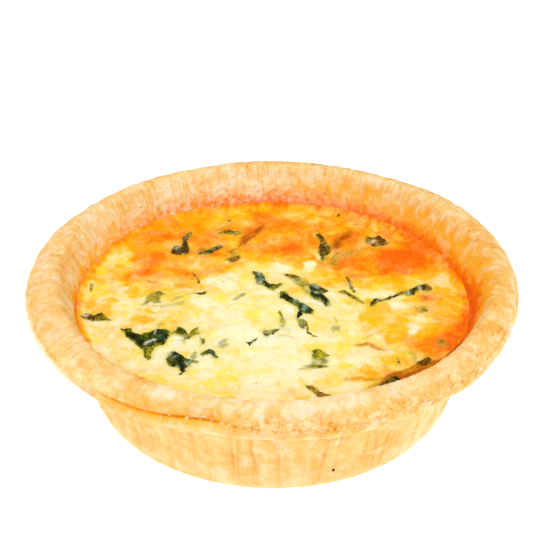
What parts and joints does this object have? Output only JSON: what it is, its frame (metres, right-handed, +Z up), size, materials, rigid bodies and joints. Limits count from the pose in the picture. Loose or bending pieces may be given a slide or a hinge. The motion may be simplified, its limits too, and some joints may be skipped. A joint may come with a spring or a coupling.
{
  "type": "spinach quiche",
  "caption": "Individual deep quiche: round pressed shortcrust case with a folded, flared rim, filled with browned egg custard set with wilted spinach leaves.",
  "frame": {"origin": "centre of the flat underside, under the middle of the rim's outline", "axes": "+Z up through the filling, -Y is the front of the quiche, +X its right-hand side seen from the front"},
  "size_m": [0.1208, 0.1198, 0.033],
  "materials": {
    "pastry": "baked shortcrust pastry, pale golden, dry and matt with fine crumb",
    "custard": "set egg custard, pale yellow browning to orange, moist with a soft gloss",
    "spinach": "wilted spinach leaf, dark green, wet"
  },
  "bodies": {
    "root": {"pastry_case": "pastry", "custard_filling": "custard", "spinach_leaf_01": "spinach", "spinach_leaf_02": "spinach", "spinach_leaf_03": "spinach", "spinach_leaf_04": "spinach", "spinach_leaf_05": "spinach", "spinach_leaf_06": "spinach", "spinach_leaf_07": "spinach", "spinach_leaf_08": "spinach", "spinach_leaf_09": "spinach", "spinach_leaf_10": "spinach", "spinach_leaf_11": "spinach", "spinach_leaf_12": "spinach", "spinach_leaf_13": "spinach", "spinach_leaf_14": "spinach", "spinach_leaf_15": "spinach", "spinach_leaf_16": "spinach", "spinach_leaf_17": "spinach", "spinach_leaf_18": "spinach"}
  },
  "joints": []
}
